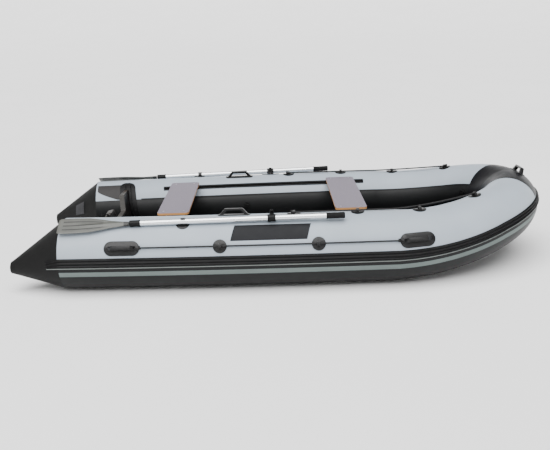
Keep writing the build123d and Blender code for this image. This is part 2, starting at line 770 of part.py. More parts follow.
# ---- Handles, eyelets, ropes and valves ---------------------------------------------
def top_handle():
    place = side_station(HANDLE_X)
    plane = tube_plane(place, HANDLE_ANGLE)
    pad = patch(plane, near(place), RectangleRounded(206, 54, 20), HANDLE_ANGLE, GLUE_GAP, PAD)
    side = Plane(origin=plane.origin, x_dir=plane.x_dir, z_dir=plane.x_dir.cross(plane.z_dir))
    outer = [(-92, 2.5), (-56, 42), (56, 42), (92, 2.5)]
    inner = [(66, 2.5), (46, 30), (-46, 30), (-66, 2.5)]
    arch = extrude(side * make_face(Polyline(*outer, *inner, close=True)), 12, both=True)
    return pad + arch


def eyelet(place, angle, radius, height, route):
    """A round pad with a raised lug, bored along the lifeline's route."""
    plane = tube_plane(place, angle)
    pad = patch(plane, near(place, radius + 20), Circle(radius), angle, GLUE_GAP, PAD, 20.0)
    lug = block(plane, (-9, 9), (-16, 16), (-6, height))
    lug = fillet(lug.edges().filter_by(Axis(plane.origin, plane.x_dir)).sort_by(Axis(plane.origin, plane.z_dir))[-2:], 8)
    return join(pad, lug - local_skin(place)) - rope(route, ROPE_R + ROPE_CLEAR)


def side_handle(place, angle, rope_end):
    """A stadium pad with a grip bar, and a lug where the lifeline is made fast."""
    length, width = SIDE_HANDLE
    plane = tube_plane(place, angle)
    stadium = RectangleRounded(length, width, width * 0.49)
    pad = patch(plane, near(place), stadium, angle, GLUE_GAP, PAD)
    side = Plane(origin=plane.origin, x_dir=plane.x_dir, z_dir=plane.x_dir.cross(plane.z_dir))
    outer = [(-84, -8), (-84, 3), (-60, 33), (60, 33), (84, 3), (84, -8)]
    inner = [(64, -8), (64, 3), (46, 23), (-46, 23), (-64, 3), (-64, -8)]
    grip = extrude(side * make_face(Polyline(*outer, *inner, close=True)), 13, both=True)
    lug = block(plane, sorted((rope_end * (length / 2 - 20), rope_end * (length / 2 - 4))), (-9, 9), (-8, 17))
    return join(pad, join(grip, lug) - local_skin(place))


SIDE_VALVE = (side_station(VALVE_X), VALVE_ANGLE)
BOW_VALVE = (bow_station(BOW_VALVE_AT), BOW_VALVE_ANGLE)
TOP_EYELETS = [side_station(x) for x in EYELET_X] + [bow_station(t) for t in EYELET_BOW]
DISCS = [side_station(x) for x in DISC_X]


def eyelets():
    top = [eyelet(place, EYELET_ANGLE, EYELET_R, EYELET_HEIGHT, TOP_ROUTE) for place in TOP_EYELETS]
    side = [eyelet(place, SIDE_ANGLE, DISC_R, EYELET_HEIGHT, SIDE_ROUTE) for place in DISCS]
    yield "top_eyelets", paired(*top)
    yield "side_eyelets", paired(*side)


def corner_radii(points):
    """Each arc as large as its two runs allow."""
    radii = []
    for before, at, after in zip(points, points[1:], points[2:]):
        turn = (at - before).get_angle(after - at)
        shorter = min((at - before).length, (after - at).length)
        radii.append(0.45 * shorter / tan(radians(turn / 2)))
    return radii


def rope(points, radius):
    """A lifeline that runs straight between the lugs that hold it."""
    line = FilletPolyline(*points, radius=corner_radii(points))
    start = Plane(origin=points[0], z_dir=points[1] - points[0])
    return sweep(start * Circle(radius), path=line)


def top_route():
    """Lifeline corners along the crown, from one end knot to the other."""
    ends = (EYELET_X[0] - ROPE_TAIL, TOP_EYELETS[-1].centre.X + ROPE_TAIL)
    stops = [side_station(ends[0])] + TOP_EYELETS[1:-1] + [station_at(ends[1])]
    return [on_tube(place, EYELET_ANGLE, ROPE_HEIGHT) for place in stops]


def side_route():
    """Lifeline corners along the side, from one handle's lug to the other's."""
    reach = SIDE_HANDLE[0] / 2 - 4 + GLUE_GAP
    ends = (SIDE_HANDLE_AFT_X + reach, bow_station(SIDE_HANDLE_BOW).centre.X - reach)
    stops = [side_station(ends[0])] + DISCS + [station_at(ends[1])]
    return [on_tube(place, SIDE_ANGLE, ROPE_HEIGHT) for place in stops]


TOP_ROUTE = top_route()
SIDE_ROUTE = side_route()


def ropes():
    for name, route in (("lifelines_top", TOP_ROUTE), ("lifelines_side", SIDE_ROUTE)):
        print(name, "bend radii", [round(radius) for radius in corner_radii(route)])
        yield name, paired(rope(route, ROPE_R))


def bow_handle():
    place = bow_station(1.0)
    plane = tube_plane(place, BOW_HANDLE_ANGLE)
    line = all_round(bow_stations(PANEL_START, 1))
    lift = 2 * GLUE_GAP + BELT
    pad = patch(plane, line, RectangleRounded(190, 60, 20), BOW_HANDLE_ANGLE, lift, PAD + BELT, 25.0)
    side = Plane(origin=plane.origin, x_dir=plane.x_dir, z_dir=plane.x_dir.cross(plane.z_dir))
    outer = [(-84, -12), (-84, 3), (-54, 40), (54, 40), (84, 3), (84, -12)]
    inner = [(60, -12), (60, 3), (44, 29), (-44, 29), (-60, 3), (-60, -12)]
    arch = extrude(side * make_face(Polyline(*outer, *inner, close=True)), 13, both=True)
    return join(pad, arch - tube(line, lift))


def valve_body(place, angle):
    plane = tube_plane(place, angle)
    neck = ring(plane, VALVE_NECK_R, VALVE_BORE_R, -VALVE_DEPTH, 5)
    floor = cylinder(plane, VALVE_NECK_R, -VALVE_DEPTH - 2, -VALVE_DEPTH)
    flange = ring(plane, VALVE_R, VALVE_BORE_R, -3, 5) - local_skin(place)
    return join(neck, floor, flange)


def valve_cap(place, angle):
    """A bayonet cap with a tab to turn it by."""
    plane = tube_plane(place, angle)
    plug = cylinder(plane, VALVE_BORE_R - 0.05, -8, 5.3)
    return join(plug, cylinder(plane, VALVE_R - 4, 5.3, 9), block(plane, (-14, 14), (-3, 3), (8, 14)))


def tow_plane():
    """On the inboard face of the port cone: x towards the bow, z off the fabric."""
    place = cone_station(TOW_RING_AT)
    ahead = cone_station(TOW_RING_AT - 0.1)
    run = (on_tube(ahead, TOW_RING_ANGLE) - on_tube(place, TOW_RING_ANGLE)).normalized()
    round_it = on_tube(place, TOW_RING_ANGLE + 1) - on_tube(place, TOW_RING_ANGLE - 1)
    return Plane(origin=on_tube(place, TOW_RING_ANGLE), x_dir=run, z_dir=run.cross(round_it))


def tow_ring_pad():
    plane = tow_plane()
    ends = [cone_station(TOW_RING_AT - 0.1), cone_station(TOW_RING_AT + 0.1)]
    pad = band(ends, (TOW_RING_ANGLE - 16, TOW_RING_ANGLE + 16), GLUE_GAP, 3.5)
    keeper = block(plane, (-9, 9), (-7, 7), (2, 13))
    bore = Plane(origin=plane.from_local_coords((0, 0, 8)), x_dir=plane.y_dir, z_dir=plane.x_dir)
    return pad + keeper - cylinder(bore, TOW_WIRE_R + TOW_FIT, -20, 20)


def tow_ring():
    """A D shaped ring: its straight side turns in the keeper."""
    plane = tow_plane()
    lifted = Plane(origin=plane.from_local_coords((0, 0, 8)), x_dir=plane.x_dir, z_dir=plane.z_dir)
    bar = Plane(origin=lifted.origin, x_dir=plane.y_dir, z_dir=plane.x_dir)
    corner = Plane(origin=lifted.from_local_coords((TOW_RING_R, 0, 0)), x_dir=plane.x_dir, z_dir=plane.y_dir)
    bow = revolve(corner * Circle(TOW_WIRE_R), Axis(lifted.origin, lifted.z_dir), 180)
    return cylinder(bar, TOW_WIRE_R, -TOW_RING_R, TOW_RING_R) + bow


def side_patch():
    """A plain dark parallelogram glued to the tube's outboard shoulder."""
    start, end = PATCH_X
    place = side_station((start + end) / 2)
    angle = sum(PATCH_ANGLES) / 2
    half = (end - start) / 2
    high = TUBE_R * sin(radians(PATCH_ANGLES[1] - angle))
    points = [(-half, high), (half - PATCH_SLANT, high), (half, -high), (-half + PATCH_SLANT, -high)]
    face = make_face(Polyline(*points, close=True))
    return patch(tube_plane(place, angle), near(place, half + 20), face, angle, GLUE_GAP, GLUE_GAP + BELT)


def export(name, shape):
    """Write one named piece in the row's frame."""
    solids = shape if isinstance(shape, (list, tuple)) else [shape]
    bodies = [solid for one in solids for solid in one.solids()]
    whole = Compound(children=bodies) if len(bodies) > 1 else bodies[0]
    export_step(ROW * whole, f"parts/{name}.step")
    return whole


NOSE_X = BOW_REACH + (bow_station(1).radius + STRAKE_DEPTH) * cos(radians(SHEER_ANGLE))
ORIGIN_X = (NOSE_X - CONE_LENGTH - CAP_THICKNESS) / 2
ROW = Pos(-ORIGIN_X, 0, TUBE_R)


def both_sides(name, shape):
    yield f"{name}_port", shape
    yield f"{name}_starboard", starboard(shape)


def hull_pieces():
    yield from chambers()
    yield "bulkheads", bulkheads()
    yield "stern_cones", paired(cone())
    yield "cone_caps", cone_caps()
    yield "bottom_skin", bottom_skin()
    strake_line = [cone_station(STRAKE_ON_CONE)] + PORT_LINE
    yield "rub_strake", band(all_round(strake_line), STRAKE_ANGLES, GLUE_GAP, STRAKE_DEPTH)
    piping = band(all_round(strake_line), PIPING_ANGLES, GLUE_GAP, PIPING_DEPTH)
    belt_line = side_stations(5, TOE_START) + BOW
    yield "side_stripes", [piping, band(all_round(belt_line), STRIPE_ANGLES, GLUE_GAP, GLUE_GAP + BELT)]
    tape_line = side_stations(HOLDER_SPAN[1] + 3, TOE_START) + bow_stations(0, PANEL_START)
    yield "seam_tapes", paired(band(tape_line, TAPE_ANGLES, GLUE_GAP, GLUE_GAP + BELT))
    yield "bow_panel", band(all_round(bow_stations(PANEL_START, 1)), PANEL_ANGLES, GLUE_GAP, GLUE_GAP + BELT)
    yield "stern_patches", paired(stern_patch())
    yield "side_patches", paired(side_patch())
    yield "keel_tube", keel_tube()


def fitted_pieces():
    yield from floorboards()
    yield "floor_joiners", list(floor_joiners())
    yield "stringers", paired(stringer())
    yield from transom()
    yield "transom_holders", paired(transom_holder())
    yield from drain()
    yield "seat_rails", paired(seat_rail())
    yield from seat("aft", SEAT_AFT_X)
    yield from seat("fore", SEAT_FORE_X)


def oar_pieces():
    yield "oarlock_bases", paired(oarlock_base())
    yield "oarlock_pins", paired(oarlock_pin())
    yield "oar_holders", paired(oar_holder())
    for name, make in (("collar", oar_collar), ("shaft", oar_shaft), ("blade", oar_blade),
                       ("neck", oar_neck), ("grip", oar_grip)):
        yield from both_sides(f"oar_{name}", make())


def deck_pieces():
    yield "top_handles", paired(top_handle())
    aft = side_handle(side_station(SIDE_HANDLE_AFT_X), SIDE_ANGLE, 1)
    yield "side_handles", paired(aft, side_handle(bow_station(SIDE_HANDLE_BOW), SIDE_ANGLE, -1))
    yield "bow_handle", bow_handle()
    yield from eyelets()
    yield from ropes()
    yield "valve_bodies", paired(valve_body(*SIDE_VALVE)) + [valve_body(*BOW_VALVE)]
    yield from both_sides("valve_cap", valve_cap(*SIDE_VALVE))
    yield "valve_cap_bow", valve_cap(*BOW_VALVE)
    yield "tow_ring_pads", paired(tow_ring_pad())
    yield from both_sides("tow_ring", tow_ring())


if __name__ == "__main__":
    os.makedirs("parts", exist_ok=True)
    for section in (hull_pieces, fitted_pieces, oar_pieces, deck_pieces):
        for piece_name, piece in section():
            export(piece_name, piece)
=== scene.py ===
"""Looks for the inflatable dinghy: coated fabric tubes, rubber fittings, plywood, alloy oars and rope."""

import json
import math
from collections import namedtuple

import bmesh
import bpy
from mathutils import Matrix, Vector, noise

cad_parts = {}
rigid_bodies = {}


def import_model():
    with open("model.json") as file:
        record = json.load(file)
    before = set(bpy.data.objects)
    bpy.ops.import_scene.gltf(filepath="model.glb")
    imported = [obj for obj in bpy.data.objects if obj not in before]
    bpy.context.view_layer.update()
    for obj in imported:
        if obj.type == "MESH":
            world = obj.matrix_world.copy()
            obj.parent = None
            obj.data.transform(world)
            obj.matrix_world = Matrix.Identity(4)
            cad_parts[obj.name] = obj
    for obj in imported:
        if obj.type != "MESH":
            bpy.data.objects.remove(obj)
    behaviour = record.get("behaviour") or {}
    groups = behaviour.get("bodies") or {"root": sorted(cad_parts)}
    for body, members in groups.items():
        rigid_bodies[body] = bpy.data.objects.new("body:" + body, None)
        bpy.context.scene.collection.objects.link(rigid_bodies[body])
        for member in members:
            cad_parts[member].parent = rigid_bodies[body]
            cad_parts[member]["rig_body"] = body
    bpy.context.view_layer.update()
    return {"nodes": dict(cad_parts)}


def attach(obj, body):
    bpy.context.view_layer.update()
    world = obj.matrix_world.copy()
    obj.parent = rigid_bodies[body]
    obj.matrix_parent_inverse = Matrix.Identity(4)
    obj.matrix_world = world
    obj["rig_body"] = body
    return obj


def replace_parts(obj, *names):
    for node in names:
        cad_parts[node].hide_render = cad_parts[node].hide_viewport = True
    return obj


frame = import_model()
NODES = frame["nodes"]
SCENE = bpy.context.scene
HULL = "hull"

# ---- The tubes' line, in metres -----------------------------------------------------
ORIGIN_X = 1.401399
TUBE_R = 0.225
HALF_BEAM = 0.592
TOE_IN = 0.061
TOE_START = 1.950
BOW_START = 2.093
BOW_REACH = 2.964
SIDE_HANDLE_RUN = 0.298
FRONT_HANDLE_RUN = 0.453
SHEER_START = 2.080
SHEER_BLEND = 0.606
SHEER_SLOPE = math.tan(math.radians(14.1))
BOW_TAPER = 0.179
TAPER_POWER = 0.75
CONE_LENGTH = 0.346
CONE_TIP = Vector((-CONE_LENGTH, 0.584, -0.066))
CONE_TIP_R = 0.040
Station = namedtuple("Station", "centre along out up radius")


def rise(x):
    run = max(0.0, x - SHEER_START)
    if run < SHEER_BLEND:
        return SHEER_SLOPE * run**2 / (2 * SHEER_BLEND)
    return SHEER_SLOPE * (run - SHEER_BLEND / 2)


def make_station(x, y, dx, dy, radius):
    slope = SHEER_SLOPE * min(max(0.0, x - SHEER_START) / SHEER_BLEND, 1.0)
    along = Vector((dx, dy, slope * dx)).normalized()
    up = Vector((-slope, 0, 1)).normalized()
    return Station(Vector((x, y, rise(x))), along, up.cross(along), up, radius)


def side_station(x):
    inset = max(0.0, TOE_START - x) / TOE_START
    return make_station(x, HALF_BEAM - TOE_IN * inset**2, 1.0, 2 * TOE_IN * inset / TOE_START, TUBE_R)


def bow_point(t):
    x = (1 - t) ** 3 * BOW_START + 3 * t * (1 - t) ** 2 * (BOW_START + SIDE_HANDLE_RUN)
    x += (3 * t**2 * (1 - t) + t**3) * BOW_REACH
    y = ((1 - t) ** 3 + 3 * t * (1 - t) ** 2) * HALF_BEAM + 3 * t**2 * (1 - t) * FRONT_HANDLE_RUN
    return x, y


STEPS = 60
_points = [bow_point(i / STEPS) for i in range(STEPS + 1)]
_runs = [math.dist(a, b) for a, b in zip(_points, _points[1:])]


def bow_share(t):
    whole = min(int(t * STEPS), STEPS - 1)
    return (sum(_runs[:whole]) + _runs[whole] * (t * STEPS - whole)) / sum(_runs)


def bow_station(t):
    x, y = bow_point(t)
    front = BOW_REACH - BOW_START - SIDE_HANDLE_RUN
    dx = (1 - t) ** 2 * SIDE_HANDLE_RUN + 2 * t * (1 - t) * front
    dy = 2 * t * (1 - t) * (FRONT_HANDLE_RUN - HALF_BEAM) - t**2 * FRONT_HANDLE_RUN
    return make_station(x, y, dx, dy, TUBE_R * (1 - BOW_TAPER * bow_share(t) ** TAPER_POWER))


def cone_station(share):
    base = side_station(0)
    centre = base.centre + (CONE_TIP - base.centre) * share
    return Station(centre, base.along, base.out, base.up, TUBE_R + (CONE_TIP_R - TUBE_R) * share)


def flip(v):
    return Vector((v.x, -v.y, v.z))


def mirrored(p):
    return Station(flip(p.centre), -flip(p.along), flip(p.out), flip(p.up), p.radius)


def on_tube(p, angle, lift=0.0):
    reach, a = p.radius + lift, math.radians(angle)
    point = p.centre + p.out * (reach * math.cos(a)) + p.up * (reach * math.sin(a))
    return point + Vector((-ORIGIN_X, 0, TUBE_R))


def spread(function, start, end, count):
    return [function(start + (end - start) * i / count) for i in range(count + 1)]


SIDE = spread(side_station, 0.0, TOE_START, 60)
BOW = spread(bow_station, 0.0, 1.0, 72)
BOW_HALF = 36


def round_the_stem(port):
    return port + [mirrored(p) for p in reversed(port[:-1])]


# ---- Colours and materials ----------------------------------------------------------
def srgb(*channels):
    """Screen values from 0 to 255, as linear light with full opacity."""
    shares = [c / 255 for c in channels]
    return tuple(c / 12.92 if c <= 0.04 else ((c + 0.055) / 1.055) ** 2.4 for c in shares) + (1.0,)


class Look:
    """One procedural material, built from the shader outwards."""

    def __init__(self, name, rough, metallic=0.0):
        self.material = bpy.data.materials.new(name)
        self.material.use_nodes = True
        self.tree = self.material.node_tree
        self.shader = self.tree.nodes["Principled BSDF"]
        self.shader.inputs["Roughness"].default_value = rough
        self.shader.inputs["Metallic"].default_value = metallic
        self.height = None

    def node(self, kind, **values):
        made = self.tree.nodes.new("ShaderNode" + kind)
        for key, value in values.items():
            if key in made.inputs:
                made.inputs[key].default_value = value
            else:
                setattr(made, key, value)
        return made

    def link(self, source, target):
        self.tree.links.new(source, target)

    def coords(self, kind="Object", stretch=(1, 1, 1)):
        source = self.node("TexCoord")
        mapping = self.node("Mapping")
        mapping.inputs["Scale"].default_value = stretch
        self.link(source.outputs[kind], mapping.inputs["Vector"])
        return mapping.outputs["Vector"]

    def noise(self, scale, detail=3.0, kind="Object", stretch=(1, 1, 1)):
        made = self.node("TexNoise", Scale=scale, Detail=detail)
        self.link(self.coords(kind, stretch), made.inputs["Vector"])
        return made.outputs["Fac"]

    def wave(self, scale, direction, kind="UV", distortion=0.0):
        made = self.node("TexWave", Scale=scale, Distortion=distortion)
        made.bands_direction = direction
        self.link(self.coords(kind), made.inputs["Vector"])
        return made.outputs["Fac"]

    def math(self, operation, a, b=None, clamp=False):
        made = self.node("Math", operation=operation, use_clamp=clamp)
        for place, value in enumerate((a, b)):
            if value is None:
                continue
            if isinstance(value, (int, float)):
                made.inputs[place].default_value = value
            else:
                self.link(value, made.inputs[place])
        return made.outputs[0]

    def within(self, value, low, high):
        above = self.math("GREATER_THAN", value, low)
        return self.math("MULTIPLY", above, self.math("LESS_THAN", value, high))

    def mix(self, share, a, b):
        made = self.node("Mix", data_type="RGBA")
        for socket, value in ((made.inputs[0], share), (made.inputs[6], a), (made.inputs[7], b)):
            if isinstance(value, (tuple, float)):
                socket.default_value = value
            else:
                self.link(value, socket)
        return made.outputs[2]

    def ramp(self, value, low, high):
        made = self.node("MapRange")
        made.inputs["From Min"].default_value = low
        made.inputs["From Max"].default_value = high
        self.link(value, made.inputs["Value"])
        return made.outputs["Result"]

    def colour(self, value):
        if isinstance(value, tuple):
            self.shader.inputs["Base Color"].default_value = value
        else:
            self.link(value, self.shader.inputs["Base Color"])

    def roughness(self, value, low, high):
        made = self.node("MapRange")
        made.inputs["To Min"].default_value = low
        made.inputs["To Max"].default_value = high
        self.link(value, made.inputs["Value"])
        self.link(made.outputs["Result"], self.shader.inputs["Roughness"])

    def bump(self, height, distance, strength=0.5):
        made = self.node("Bump", Strength=strength, Distance=distance)
        self.link(height, made.inputs["Height"])
        if self.height is not None:
            self.link(self.height, made.inputs["Normal"])
        self.height = made.outputs["Normal"]
        self.link(self.height, self.shader.inputs["Normal"])

    def set(self, **values):
        for key, value in values.items():
            self.shader.inputs[key.replace("_", " ")].default_value = value
        return self


LIGHT_FABRIC = srgb(156, 165, 174)
DARK_FABRIC = srgb(13, 14, 15)
INNER_ANGLE = 147.05


def weave(look, kind="UV"):
    warp = look.wave(360, "X", kind)
    weft = look.wave(360, "Y", kind)
    look.bump(look.math("MULTIPLY", warp, weft), 0.0002, 0.25)
    look.bump(look.noise(9.0, 4.0), 0.004, 0.18)


def coated(name, colour, rough=0.42):
    look = Look(name, rough)
    patchy = look.ramp(look.noise(5.0, 5.0), 0.3, 0.7)
    shade = tuple(c * 0.86 for c in colour[:3]) + (1.0,)
    look.colour(look.mix(patchy, shade, colour))
    look.roughness(look.noise(24.0, 4.0), rough - 0.06, rough + 0.1)
    weave(look)
    return look.set(Specular_IOR_Level=0.14).material


def tube_fabric():
    """Light above the strake and over the crown, dark below it and inside the boat."""
    look = Look("tube_fabric", 0.4)
    uv = look.node("SeparateXYZ")
    look.link(look.coords("UV"), uv.inputs[0])
    outer = look.within(uv.outputs["Y"], 0.0, INNER_ANGLE / 360)
    patchy = look.ramp(look.noise(4.0, 5.0), 0.3, 0.7)
    light = look.mix(patchy, srgb(150, 159, 168), LIGHT_FABRIC)
    dark = look.mix(patchy, srgb(9, 10, 11), DARK_FABRIC)
    look.colour(look.mix(outer, dark, light))
    look.roughness(look.noise(22.0, 4.0), 0.34, 0.5)
    look.bump(look.noise(7.0, 4.0), 0.006, 0.22)
    look.bump(look.noise(900.0, 2.0), 0.0002, 0.25)
    return look.set(Specular_IOR_Level=0.22).material


def rubber(name, colour, rough=0.5, grain=700.0, shine=0.14):
    look = Look(name, rough)
    dust = look.ramp(look.noise(14.0, 6.0), 0.35, 0.75)
    dusty = tuple(min(1.0, c * 1.3 + 0.001) for c in colour[:3]) + (1.0,)
    look.colour(look.mix(dust, colour, dusty))
    look.roughness(look.noise(45.0, 4.0), rough - 0.08, rough + 0.12)
    look.bump(look.noise(grain, 3.0), 0.0003, 0.4)
    return look.set(Specular_IOR_Level=shine).material


def brushed(name, colour, rough=0.3):
    look = Look(name, rough, 1.0)
    streaks = look.noise(300.0, 3.0, stretch=(0.03, 1, 1))
    look.colour(look.mix(streaks, tuple(c * 0.88 for c in colour[:3]) + (1.0,), colour))
    look.roughness(streaks, rough - 0.06, rough + 0.1)
    look.bump(streaks, 0.00015, 0.2)
    return look.material


def plywood(name, face, rough, across="Z", edges=(srgb(150, 96, 52), srgb(196, 150, 96))):
    """Painted faces over layered edges; across is the axis that the faces look along."""
    look = Look(name, rough)
    grain = look.noise(26.0, 6.0, stretch=(7.0, 0.6, 1))
    fleck = look.noise(210.0, 3.0, stretch=(2.5, 0.5, 1))
    painted = look.mix(grain, tuple(c * 0.8 for c in face[:3]) + (1.0,), face)
    painted = look.mix(look.ramp(fleck, 0.62, 0.75), painted, tuple(c * 0.66 for c in face[:3]) + (1.0,))
    plies = look.wave(95.0, "Z", "Object", 1.5)
    edge = look.mix(plies, *edges)
    geometry = look.node("NewGeometry")
    split = look.node("SeparateXYZ")
    look.link(geometry.outputs["True Normal"], split.inputs[0])
    flat = look.math("GREATER_THAN", look.math("ABSOLUTE", split.outputs[across]), 0.6)
    look.colour(look.mix(flat, edge, painted))
    look.roughness(grain, rough - 0.08, rough + 0.1)
    look.bump(grain, 0.0005, 0.25)
    return look.set(Specular_IOR_Level=0.22).material


def braided():
    look = Look("rope", 0.75)
    twist = look.noise(420.0, 2.0, stretch=(0.45, 1, 1))
    look.colour(look.mix(look.ramp(twist, 0.35, 0.65), srgb(4, 4, 5), srgb(14, 14, 15)))
    look.bump(twist, 0.0012, 0.8)
    return look.material


def worn_board(name, colour):
    """Dark boards with a raised grip pattern."""
    look = Look(name, 0.6)
    bars = look.math("MULTIPLY", look.wave(34.0, "X", "Object"), look.wave(34.0, "Y", "Object"))
    wear = look.ramp(look.noise(6.0, 6.0), 0.4, 0.7)
    look.colour(look.mix(wear, colour, tuple(c * 1.5 for c in colour[:3]) + (1.0,)))
    look.roughness(wear, 0.5, 0.72)
    look.bump(bars, 0.0008, 0.6)
    return look.material


def blade_plastic():
    look = Look("blade_plastic", 0.45)
    cloud = look.ramp(look.noise(12.0, 5.0), 0.3, 0.7)
    plain = look.mix(cloud, srgb(70, 71, 67), srgb(82, 83, 78))
    place = look.node("SeparateXYZ")
    look.link(look.coords("UV"), place.inputs[0])
    run, width = place.outputs["X"], place.outputs["Y"]
    # Painted shade: the groove lines are coloured near-black, standing in for the shade that falls in the
    # blade's carved grooves
    line = look.math("LESS_THAN", look.math("PINGPONG", look.math("MULTIPLY", width, 4.0), 0.5), 0.13)
    inside = look.within(width, 0.15, 0.85)
    span = look.within(run, 0.36, 0.93)
    groove = look.math("MULTIPLY", look.math("MULTIPLY", line, inside), span)
    throat = look.math("LESS_THAN", run, 0.07)
    # dark joins the painted groove shade with the throat, which is the neck's own dark plastic
    dark = look.math("MAXIMUM", groove, throat)
    look.colour(look.mix(dark, plain, srgb(16, 16, 15)))
    look.roughness(look.noise(60.0, 4.0), 0.36, 0.55)
    look.bump(look.noise(800.0, 3.0), 0.0002, 0.3)
    return look.material


BLACK = srgb(10, 10, 11)
LOOKS = {
    "tube_fabric": tube_fabric(),
    "cone_fabric": coated("cone_fabric", srgb(12, 12, 12), 0.55),
    "seam_fabric": coated("seam_fabric", srgb(18, 18, 19)),
    "stripe_fabric": coated("stripe_fabric", srgb(100, 110, 108)),
    "piping": coated("piping", srgb(120, 125, 123)),
    "dark_panel": coated("dark_panel", srgb(17, 17, 20), 0.36),
    "side_patch": coated("side_patch", srgb(22, 23, 26), 0.5),
    "stern_patch": coated("stern_patch", srgb(50, 48, 48), 0.5),
    "floor_fabric": coated("floor_fabric", srgb(15, 16, 17)),
    "black_rubber": rubber("black_rubber", BLACK, 0.45),
    "moulded_rubber": rubber("moulded_rubber", srgb(8, 8, 9), 0.34, 500.0, 0.35),
    "pad_rubber": rubber("pad_rubber", srgb(44, 44, 46), 0.5),
    "rope": braided(),
    "plywood": worn_board("plywood", srgb(34, 31, 30)),
    "transom_ply": plywood("transom_ply", srgb(30, 27, 27), 0.45, "X", (srgb(34, 27, 23), srgb(46, 37, 31))),
    "seat_ply": plywood("seat_ply", srgb(112, 105, 117), 0.42),
    "aluminium": brushed("aluminium", srgb(232, 235, 237), 0.26),
    "black_plastic": rubber("black_plastic", srgb(10, 10, 11), 0.38, 900.0),
    "grip_rubber": rubber("grip_rubber", srgb(13, 13, 14), 0.6, 1100.0),
    "blade_plastic": blade_plastic(),
    "trim_plastic": rubber("trim_plastic", srgb(52, 50, 48), 0.4, 900.0),
    "steel": brushed("steel", srgb(190, 192, 195), 0.28),
}


# ---- Making pieces ------------------------------------------------------------------
def piece(name, mesh, look, body=HULL, sharp=40.0):
    made = bpy.data.objects.new(name, mesh)
    SCENE.collection.objects.link(made)
    mesh.materials.clear()
    mesh.materials.append(LOOKS[look])
    mesh.shade_smooth()
    mesh.set_sharp_from_angle(angle=math.radians(sharp))
    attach(made, body)
    return made


UNEVEN = 0.0004


def on_skin(p, angle, lift):
    """A point on the tube with the slight unevenness of inflated fabric."""
    point, a = on_tube(p, angle, lift), math.radians(angle)
    swell = noise.noise(point * 9.0) + 0.5 * noise.noise(point * 31.0) - 0.5
    return point + (p.out * math.cos(a) + p.up * math.sin(a)) * (UNEVEN * swell)


def swept(name, stations, profile, look, spin=None):
    """A closed section of (angle, lift) corners carried along the tubes."""
    runs = [0.0]
    for last, p in zip(stations, stations[1:]):
        runs.append(runs[-1] + (p.centre - last.centre).length)
    width = len(profile)
    mesh = bpy.data.meshes.new(name)
    tool = bmesh.new()
    grid = [[tool.verts.new(on_skin(p, angle, lift)) for angle, lift in profile] for p in stations]
    uv = tool.loops.layers.uv.new("UVMap")

    def face(corners, marks):
        made = tool.faces.new(corners)
        for corner, mark in zip(made.loops, marks):
            corner[uv].uv = mark

    for i in range(len(stations) - 1):
        for j in range(width):
            k = (j + 1) % width
            a0, a1 = profile[j][0], profile[k][0]
            if spin and k == 0:
                a1 = profile[j][0] + 360.0 / spin
            corners = (grid[i][j], grid[i + 1][j], grid[i + 1][k], grid[i][k])
            turns = ((i, a0), (i + 1, a0), (i + 1, a1), (i, a1))
            face(corners, [(runs[row], angle / 360) for row, angle in turns])
    if not spin:
        face(list(reversed(grid[0])), [(0, 0)] * width)
        face(grid[-1], [(0, 0)] * width)
    bmesh.ops.recalc_face_normals(tool, faces=tool.faces)
    tool.to_mesh(mesh)
    tool.free()
    return piece(name, mesh, look)


RINGS = 120
SEAM_ANGLE = -30.0
FULL = [(SEAM_ANGLE + 360.0 * j / RINGS, 0.0) for j in range(RINGS)]


def strip(first, last, low, high, edge=0.35):
    """A flat glued strip's section with eased edges, cut every few degrees round the tube."""
    cuts = max(6, round((last - first) / 3))
    inner = [(first, low), (last, low)]
    outer = [(last, high * 0.6), (last - edge, high), (first + edge, high), (first, high * 0.6)]
    middle = [(last + (first - last) * i / cuts, high) for i in range(1, cuts)]
    under = [(first + (last - first) * i / cuts, low) for i in range(1, cuts)]
    return [inner[0], *under, inner[1], *outer[:2], *middle, *outer[2:]]


STRAKE_BACKING = 0.0008


def ribbed(first, last, depth, ribs):
    """The rub strake's section: rounded ribs on a flat backing."""
    top, count = [], ribs * 8
    for i in range(count + 1):
        share = i / count
        wave = 0.5 - 0.5 * math.cos(2 * math.pi * ribs * share)
        shoulder = min(1.0, 6 * share, 6 * (1 - share))
        top.append((last + (first - last) * share, depth * shoulder * (0.42 + 0.56 * wave) + STRAKE_BACKING))
    under = [(first + (last - first) * i / 8, 0.0003) for i in range(9)]
    return under + top


def lathe(name, origin, axis, profile, look, body=HULL, turns=40, sharp=35.0):
    """A turned piece: profile is (distance along the axis, radius)."""
    axis = Vector(axis).normalized()
    side = axis.orthogonal().normalized()
    other = axis.cross(side)
    tool = bmesh.new()
    angles = [2 * math.pi * i / turns for i in range(turns)]
    spokes = [side * math.cos(a) + other * math.sin(a) for a in angles]
    grid = []
    for high, radius in profile:
        centre = Vector(origin) + axis * high
        grid.append([tool.verts.new(centre + spoke * radius) for spoke in spokes])
    for lower, upper in zip(grid, grid[1:]):
        for i in range(turns):
            j = (i + 1) % turns
            tool.faces.new((lower[i], lower[j], upper[j], upper[i]))
    tool.faces.new(list(reversed(grid[0])))
    tool.faces.new(grid[-1])
    bmesh.ops.recalc_face_normals(tool, faces=tool.faces)
    mesh = bpy.data.meshes.new(name)
    tool.to_mesh(mesh)
    tool.free()
    return piece(name, mesh, look, body, sharp)


